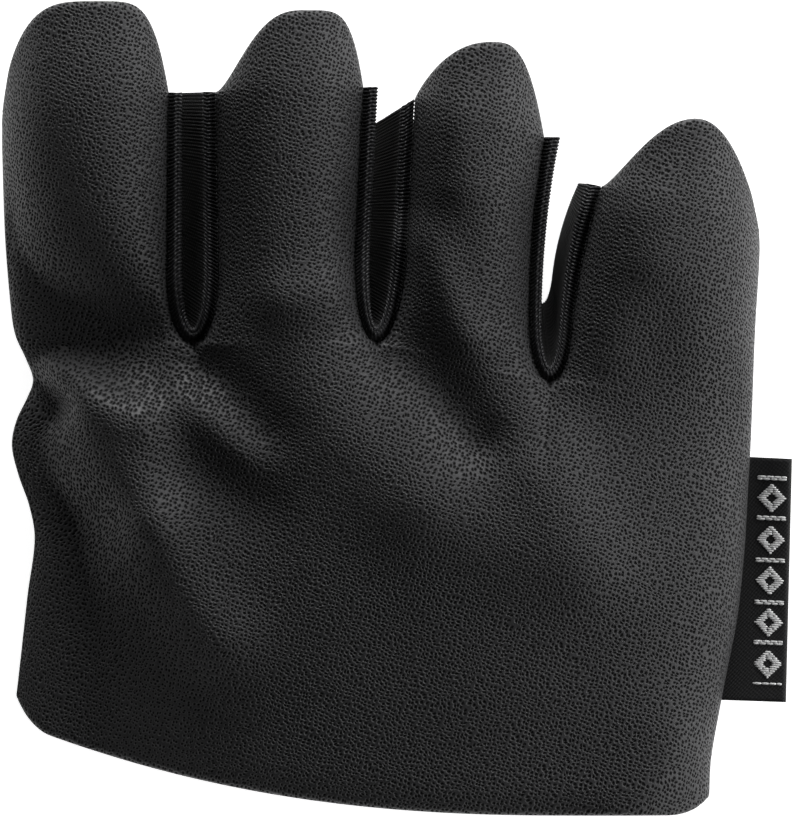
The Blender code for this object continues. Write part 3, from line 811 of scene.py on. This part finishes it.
def woven_label(material):
    """The label's cloth, folded at its free side, as a closed wall."""
    rings, places = [], []
    for row in range(LABEL_ROWS + 1):
        up = LABEL_LENGTH * row / LABEL_ROWS
        inward, z, flat = label_ring(float(label_fold(up)[1]))
        rings.append(label_place(inward, np.full_like(inward, up), z))
        places.append(np.stack([flat, np.full_like(flat, up)], 1) * MM)
    width = len(rings[0])
    # The rings run the other way round than a band's, so each face is turned over
    faces = ring_faces(len(rings), width)[:, [1, 0, 3, 2]].tolist()
    for first, turned in ((0, False), (LABEL_ROWS * width, True)):
        for i in range(width // 2 - 1):
            face = [first + i, first + i + 1, first + width - 2 - i, first + width - 1 - i]
            faces.append(face[::-1] if turned else face)
    return mesh_from(
        "folded_woven_label", np.concatenate(rings), faces, np.concatenate(places), [material]
    )


def motif_spans(up):
    """Stretches of light thread across the label, in a plain row of open lozenges and bars."""
    off = abs((up - MOTIF_LOW) % LOZENGE_PITCH - LOZENGE_PITCH / 2)
    half, hole = LOZENGE_HALF - off, LOZENGE_HOLE - off
    if LOZENGE_PITCH / 2 - off < THREAD_PITCH:
        half = LOZENGE_HALF
    if half < 0 or not MOTIF_LOW <= up <= MOTIF_HIGH:
        return []
    if hole > 0:
        return [
            (LOZENGE_MIDDLE - half, LOZENGE_MIDDLE - hole),
            (LOZENGE_MIDDLE + hole, LOZENGE_MIDDLE + half),
        ]
    return [(LOZENGE_MIDDLE - half, LOZENGE_MIDDLE + half)]


def thread_floats():
    """Places of the light threads: inward and up of each one's middle, and its length."""
    floats = []
    for row in range(round(LABEL_LENGTH / THREAD_PITCH)):
        up = (row + 0.5) * THREAD_PITCH
        for start, end in motif_spans(up):
            if end - start < THREAD_WIDTH:
                continue
            count = max(1, round((end - start) / THREAD_LENGTH))
            cuts = [mix(start, end, i / count) for i in range(count + 1)]
            shift = (THREAD_SHIFT if row % 2 else -THREAD_SHIFT) * (cuts[1] - cuts[0])
            cuts = [cuts[0]] + [cut + shift for cut in cuts[1:-1]] + [cuts[-1]]
            floats += [(mix(a, b, 0.5), up, b - a) for a, b in zip(cuts, cuts[1:])]
    return floats


def label_pattern(material):
    """The light threads that float on the label's face, each a small rounded bar."""
    bar_faces = tube_faces(THREAD_STEPS + 1, THREAD_SIDES)
    points, faces, places = [], [], []
    for inward, up, length in thread_floats():
        faces += [[len(points) + i for i in face] for face in bar_faces]
        for step in range(THREAD_STEPS + 1):
            share = -math.cos(math.pi * step / THREAD_STEPS)
            girth = max(THREAD_END_GIRTH, math.sqrt(max(0.0, 1 - share**4)))
            for side in range(THREAD_SIDES):
                angle = 2 * math.pi * side / THREAD_SIDES
                y = up + girth * THREAD_WIDTH / 2 * math.cos(angle)
                z = LABEL_HIGH.z + THREAD_LIFT + girth * THREAD_HEIGHT * math.sin(angle)
                points.append((inward - share * length / 2, y, z))
                places.append(((inward + share * length / 2) * MM, y * MM))
    points = np.array(points)
    bent = label_place(points[:, 0], points[:, 1], points[:, 2])
    return mesh_from("label_pattern", bent, faces, np.array(places), [material])


# Numbers of the Mix node's colour sockets
MIX_FACTOR = 0
MIX_LOW = 6
MIX_HIGH = 7
MIX_RESULT = 2


class Surface:
    """A Principled material and the nodes that feed it."""

    def __init__(self, name, colour, values):
        self.material = bpy.data.materials.new(name)
        self.material.use_nodes = True
        self.tree = self.material.node_tree
        self.shader = self.tree.nodes["Principled BSDF"]
        self.shader.inputs["Base Color"].default_value = (*colour, 1.0)
        for socket, value in values.items():
            self.shader.inputs[socket].default_value = value
        self.uv = self.add("ShaderNodeUVMap", uv_map="cloth").outputs["UV"]

    def add(self, kind, links=None, **settings):
        """A new node: links gives sockets or plain values for its inputs."""
        node = self.tree.nodes.new(kind)
        for name, value in settings.items():
            setattr(node, name, value)
        for socket, value in (links or {}).items():
            if isinstance(value, bpy.types.NodeSocket):
                self.tree.links.new(value, node.inputs[socket])
            else:
                node.inputs[socket].default_value = value
        return node

    def math(self, operation, *values):
        return self.add("ShaderNodeMath", dict(enumerate(values)), operation=operation).outputs[0]

    def times(self, a, b):
        return self.math("MULTIPLY", a, b)

    def wave(self, place, pitch):
        """A sine wave, from -1 to 1."""
        return self.math("SINE", self.times(place, 2 * math.pi / pitch))

    def split(self, vector):
        parts = self.add("ShaderNodeSeparateXYZ", {0: vector}).outputs
        return parts["X"], parts["Y"]

    def step(self, value, low, high, start=0.0, end=1.0):
        """A smooth change from start to end while value goes from low to high."""
        links = {"Value": value, "From Min": low, "From Max": high, "To Min": start, "To Max": end}
        return self.add("ShaderNodeMapRange", links, interpolation_type="SMOOTHSTEP").outputs["Result"]

    def scaled(self, vector, across, up, turn):
        """Places, scaled and then turned."""
        links = {"Vector": vector, "Scale": (across, up, 1.0), "Rotation": (0.0, 0.0, turn)}
        return self.add("ShaderNodeMapping", links).outputs["Vector"]

    def noise(self, scale, detail=2.0, roughness=0.5, vector=None, output="Fac"):
        links = {"Vector": vector or self.uv, "Scale": scale, "Detail": detail, "Roughness": roughness}
        return self.add("ShaderNodeTexNoise", links, noise_dimensions="2D").outputs[output]

    def warped(self, amount, scale):
        """The cloth's places, shifted by a slow noise."""
        centre = {0: self.noise(scale, 1.0, output="Color"), 1: (0.5, 0.5, 0.5)}
        shift = self.add("ShaderNodeVectorMath", centre, operation="SUBTRACT").outputs[0]
        shift = self.add("ShaderNodeVectorMath", {0: shift, "Scale": amount}, operation="SCALE").outputs[0]
        return self.add("ShaderNodeVectorMath", {0: self.uv, 1: shift}, operation="ADD").outputs[0]

    def colour(self, factor, low, high):
        """Sets the colour from low to high as factor goes from 0 to 1."""
        links = {MIX_FACTOR: factor, MIX_LOW: (*low, 1.0), MIX_HIGH: (*high, 1.0)}
        mixed = self.add("ShaderNodeMix", links, data_type="RGBA").outputs[MIX_RESULT]
        self.tree.links.new(mixed, self.shader.inputs["Base Color"])

    def rough(self, value):
        self.tree.links.new(value, self.shader.inputs["Roughness"])

    def bump(self, layers):
        """Bumps one on another: each layer gives a height and how deep it is, in metres."""
        normal = None
        for height, depth in layers:
            links = {"Height": height, "Distance": depth, "Strength": 1.0}
            if normal:
                links["Normal"] = normal
            normal = self.add("ShaderNodeBump", links).outputs["Normal"]
        self.tree.links.new(normal, self.shader.inputs["Normal"])


# Leather grain: its pitch and the wave of its rows in millimetres, the pits' sizes and the painted shade in
# them as shares of the pitch, and the depths of its relief in metres
PIT_PITCH = 0.57
PIT_SQUASH = 1.06
PIT_CORE = 0.17
PIT_REACH = 0.39
PIT_RAGGED = 0.12
PIT_RANDOM = 0.56
CROWN_START = 0.08
CROWN_END = 0.52
CROWN_DEPTH = 0.00020
ROW_WAVE = 0.9
ROW_TURN = 0.35
STREAK_TURN = 0.15
STREAK_DEPTH = 0.00006
WORN_DEPTH = 0.00008


def grained_leather():
    """Black leather with an embossed grain: pits in wavy rows between soft ridges, darkened with painted
    shade.
    """
    leather = Surface(
        "grained_leather",
        (0.02, 0.02, 0.021),
        {"Specular IOR Level": 0.3, "Sheen Weight": 0.02, "Sheen Roughness": 0.4},
    )
    places = leather.warped(ROW_WAVE, 0.30)
    cells = leather.scaled(places, 1 / PIT_PITCH, PIT_SQUASH / PIT_PITCH, ROW_TURN)
    links = {"Vector": cells, "Scale": 1.0, "Randomness": PIT_RANDOM}
    pits = leather.add("ShaderNodeTexVoronoi", links, voronoi_dimensions="2D").outputs["Distance"]
    ragged = leather.math("SUBTRACT", leather.noise(2.6, 2.0, 0.6), 0.5)
    pits = leather.math("ADD", pits, leather.times(ragged, PIT_RAGGED))
    # Painted shade in the pits: the colour goes nearly black towards each pit's core
    pit_painted_shade = leather.step(pits, PIT_CORE, PIT_REACH)
    crown = leather.step(pits, CROWN_START, CROWN_END)
    streaks = leather.noise(1.0, 3.0, 0.6, leather.scaled(places, 0.75, 1.9, STREAK_TURN))
    worn = leather.noise(0.09)
    tone = leather.times(pit_painted_shade, leather.step(streaks, 0.30, 0.70, 0.80, 1.0))
    tone = leather.times(tone, leather.step(worn, 0.25, 0.75, 0.90, 1.0))
    leather.colour(tone, (0.0004, 0.0004, 0.0004), (0.040, 0.040, 0.0418))
    leather.rough(leather.step(tone, 0.0, 0.9, 1.0, 0.48))
    leather.bump([(worn, WORN_DEPTH), (streaks, STREAK_DEPTH), (crown, CROWN_DEPTH)])
    return leather.material


# Knits: colours, pitches across and along a column of loops in millimetres, and depth in metres, then the
# slant of the loops and the gap and the spine of a column as shares of its pitch
Knit = namedtuple("Knit", "name low high wale course depth")
BACK_KNIT = Knit("back_knit", (0.003, 0.003, 0.0035), (0.020, 0.020, 0.022), 0.75, 0.55, 0.00015)
LINING_KNIT = Knit("lining_knit", (0.003, 0.003, 0.0035), (0.016, 0.016, 0.018), 0.55, 0.45, 0.00010)
LOOP_SLANT = 1.3
LOOP_GAP = 0.16
LOOP_SPINE = 0.38
FUZZ_DEPTH = 0.00003


def knitted(knit):
    """A stretch knit: columns of small interlocked loops."""
    cloth = Surface(
        knit.name, knit.high, {"Specular IOR Level": 0.3, "Sheen Weight": 0.18, "Sheen Roughness": 0.5}
    )
    x, y = cloth.split(cloth.warped(0.12, 0.4))
    across = cloth.math("PINGPONG", cloth.math("DIVIDE", x, knit.wale), 0.5)
    up = cloth.math("ADD", cloth.math("DIVIDE", y, knit.course), cloth.times(across, LOOP_SLANT))
    loops = cloth.math("ABSOLUTE", cloth.wave(up, 2.0))
    column = cloth.step(across, 0.0, LOOP_GAP)
    spine = cloth.step(across, 0.5, LOOP_SPINE)
    height = cloth.times(loops, cloth.times(column, cloth.math("ADD", spine, 0.35)))
    fuzz = cloth.noise(7.0, 3.0, 0.7)
    cloth.colour(cloth.times(height, cloth.step(fuzz, 0.2, 0.8, 0.7, 1.0)), knit.low, knit.high)
    cloth.rough(cloth.step(fuzz, 0.2, 0.8, 0.92, 0.75))
    cloth.bump([(height, knit.depth), (fuzz, FUZZ_DEPTH)])
    return cloth.material


# Elastic: the pitch of its warp, and where painted shade darkens its walls away from the bead's middle, in
# millimetres
WARP_PITCH = 0.85
WARP_DEPTH = 0.00004
PAINTED_SHADE_START = 0.6
PAINTED_SHADE_END = 2.0


def ribbed_elastic():
    """Black elastic: fine warp threads run over the ribs, which are in the mesh, and painted shade darkens
    its walls.
    """
    band = Surface(
        "ribbed_elastic", (0.010, 0.010, 0.011), {"Specular IOR Level": 0.35, "Sheen Weight": 0.03}
    )
    x, y = band.split(band.uv)
    phase = band.times(y, math.pi / (RIB_PITCH * MM))
    across = band.times(x, 2 * math.pi / WARP_PITCH)
    threads = band.step(band.math("SINE", band.math("ADD", across, phase)), -1.0, 1.0)
    fuzz = band.noise(6.0, 3.0, 0.65)
    tone = band.times(band.step(threads, 0.0, 1.0, 0.55, 1.0), band.step(fuzz, 0.25, 0.75, 0.6, 1.0))
    # Painted shade: the colour darkens away from the bead's middle, down the walls into the slit
    painted_wall_shade = band.step(band.math("ABSOLUTE", x), PAINTED_SHADE_START, PAINTED_SHADE_END, 1.0, 0.12)
    tone = band.times(tone, painted_wall_shade)
    band.colour(tone, (0.0006, 0.0006, 0.0007), (0.022, 0.022, 0.0248))
    band.rough(band.step(tone, 0.0, 0.8, 1.0, 0.42))
    band.bump([(threads, WARP_DEPTH), (fuzz, FUZZ_DEPTH)])
    return band.material


# Twill of the label and strands of its light thread: pitches in millimetres, depths in metres
TWILL_PITCH = 0.34
TWILL_LENGTH = 0.42
TWILL_TURN = 0.6
TWILL_DEPTH = 0.00003
LINT_DEPTH = 0.00002
STRAND_PITCH = 0.07
STRAND_DEPTH = 0.00001


def label_twill():
    """Black label cloth, woven in a fine twill."""
    values = {"Specular IOR Level": 0.25, "Sheen Weight": 0.04}
    weave = Surface("label_twill", (0.008, 0.008, 0.0086), values)
    x, y = weave.split(weave.scaled(weave.warped(0.05, 1.0), 1.0, 1.0, TWILL_TURN))
    lines = weave.step(weave.wave(x, TWILL_PITCH), -1.0, 1.0)
    height = weave.math("ADD", lines, weave.times(weave.wave(y, TWILL_LENGTH), 0.25))
    fuzz = weave.noise(5.0, 3.0, 0.6)
    tone = weave.times(weave.step(height, -0.2, 1.2), weave.step(fuzz, 0.25, 0.75, 0.5, 1.0))
    weave.colour(tone, (0.0035, 0.0035, 0.0038), (0.0115, 0.0115, 0.0124))
    weave.rough(weave.step(fuzz, 0.2, 0.8, 0.80, 0.60))
    weave.bump([(height, TWILL_DEPTH), (fuzz, LINT_DEPTH)])
    return weave.material


def pale_thread():
    """Light grey lustrous thread."""
    thread = Surface("pale_thread", (0.40, 0.40, 0.40), {"Specular IOR Level": 0.5, "Sheen Weight": 0.1})
    strands = thread.wave(thread.split(thread.uv)[1], STRAND_PITCH)
    fuzz = thread.noise(3.0)
    thread.colour(thread.step(fuzz, 0.2, 0.8), (0.52, 0.52, 0.52), (0.85, 0.85, 0.85))
    thread.rough(thread.step(fuzz, 0.2, 0.8, 0.45, 0.6))
    thread.bump([(strands, STRAND_DEPTH)])
    return thread.material


# Floor, just below the lowest dents of the cloth
FLOOR_SIZE = 4.0
FLOOR_DROP = 0.0002
FLOOR_GLOW = 0.90

# Square lights that face the glove, with their places in metres and their powers in watts
Light = namedtuple("Light", "name place power")
LIGHTS = (
    Light("tips", (0.0, 0.55, 0.15), 2.9),
    Light("corner", (0.40, 0.40, 0.18), 1.6),
    Light("side", (0.55, 0.10, 0.13), 1.1),
    Light("wrist_side", (0.45, -0.25, 0.25), 1.3),
    Light("fill", (-0.35, 0.35, 0.40), 0.35),
)
LIGHT_SIZE = 0.25
WORLD_LIGHT = 0.01

# Camera: straight above and far off. The frame is FRAME_TALL high at the glove's mid-height.
CAMERA_HEIGHT = 4.0
CAMERA_REACH = 20.0
FRAME_TALL = 0.10458
SENSOR = 36.0
MID_HEIGHT = 0.014


def stage_floor():
    """A plain white floor that glows a little, so it stays pale under the soft light."""
    bpy.ops.mesh.primitive_plane_add(size=FLOOR_SIZE, location=(0, 0, -FLOOR_DROP))
    floor = bpy.context.object
    floor.name = "floor"
    white = Surface("floor_white", (0.9, 0.9, 0.9), {"Roughness": 0.9, "Specular IOR Level": 0.1})
    white.shader.inputs["Emission Color"].default_value = (1, 1, 1, 1)
    white.shader.inputs["Emission Strength"].default_value = FLOOR_GLOW
    floor.data.materials.append(white.material)


def camera():
    lens = bpy.data.cameras.new("camera")
    lens.sensor_width = SENSOR
    lens.lens = SENSOR * (CAMERA_HEIGHT - MID_HEIGHT) / FRAME_TALL
    lens.clip_end = CAMERA_REACH
    made = bpy.data.objects.new("camera", lens)
    made.location = (0.0, 0.0, CAMERA_HEIGHT)
    bpy.context.scene.collection.objects.link(made)
    bpy.context.scene.camera = made


def area_light(light):
    lamp = bpy.data.lights.new(light.name, "AREA")
    lamp.size = LIGHT_SIZE
    lamp.energy = light.power
    made = bpy.data.objects.new(light.name, lamp)
    made.location = light.place
    made.rotation_euler = (-Vector(light.place)).to_track_quat("-Z", "Y").to_euler()
    bpy.context.scene.collection.objects.link(made)


def studio():
    """Soft light, mainly from the fingertips and the little finger's side, and a very dim world."""
    scene = bpy.context.scene
    scene.view_settings.view_transform = "Standard"
    scene.view_settings.look = "None"
    world = bpy.data.worlds.new("studio")
    world.use_nodes = True
    world.node_tree.nodes["Background"].inputs["Color"].default_value = (1, 1, 1, 1)
    world.node_tree.nodes["Background"].inputs["Strength"].default_value = WORLD_LIGHT
    scene.world = world
    for light in LIGHTS:
        area_light(light)


def main():
    camera()
    studio()
    stage_floor()
    leather, lining = grained_leather(), knitted(LINING_KNIT)

    base = base_surface("palm", PALM_STEPS, palm_z, palm_sewn_z, 0)
    palm, flat, area = walled(
        "leather_palm", base, LEATHER_WALL, LEATHER_ROLL, LEATHER_SINK, LEATHER_TURN, 1.0, [leather, lining]
    )
    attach(palm, "root")
    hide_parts("palm_panel")

    base = base_surface("back", BACK_STEPS, back_z, back_sewn_z, 1)
    back_cloth = knitted(BACK_KNIT)
    back, flat, area = walled(
        "knit_back", base, BACK_WALL, BACK_ROLL, 0.0, BACK_TURN, -1.0, [back_cloth, lining]
    )
    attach(back, "root")
    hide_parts("back_panel")

    elastic = ribbed_elastic()
    for index in range(len(SLITS)):
        band = finger_band(index, elastic)
        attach(band, "root")
        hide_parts("finger_band_" + SLITS[index].name)

    label = woven_label(label_twill())
    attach(label, "root")
    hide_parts("woven_label")
    flat = (2 * float(label_fold(LABEL_LENGTH / 2)[1]), LABEL_LENGTH)
    pattern = label_pattern(pale_thread())
    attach(pattern, "root")


main()
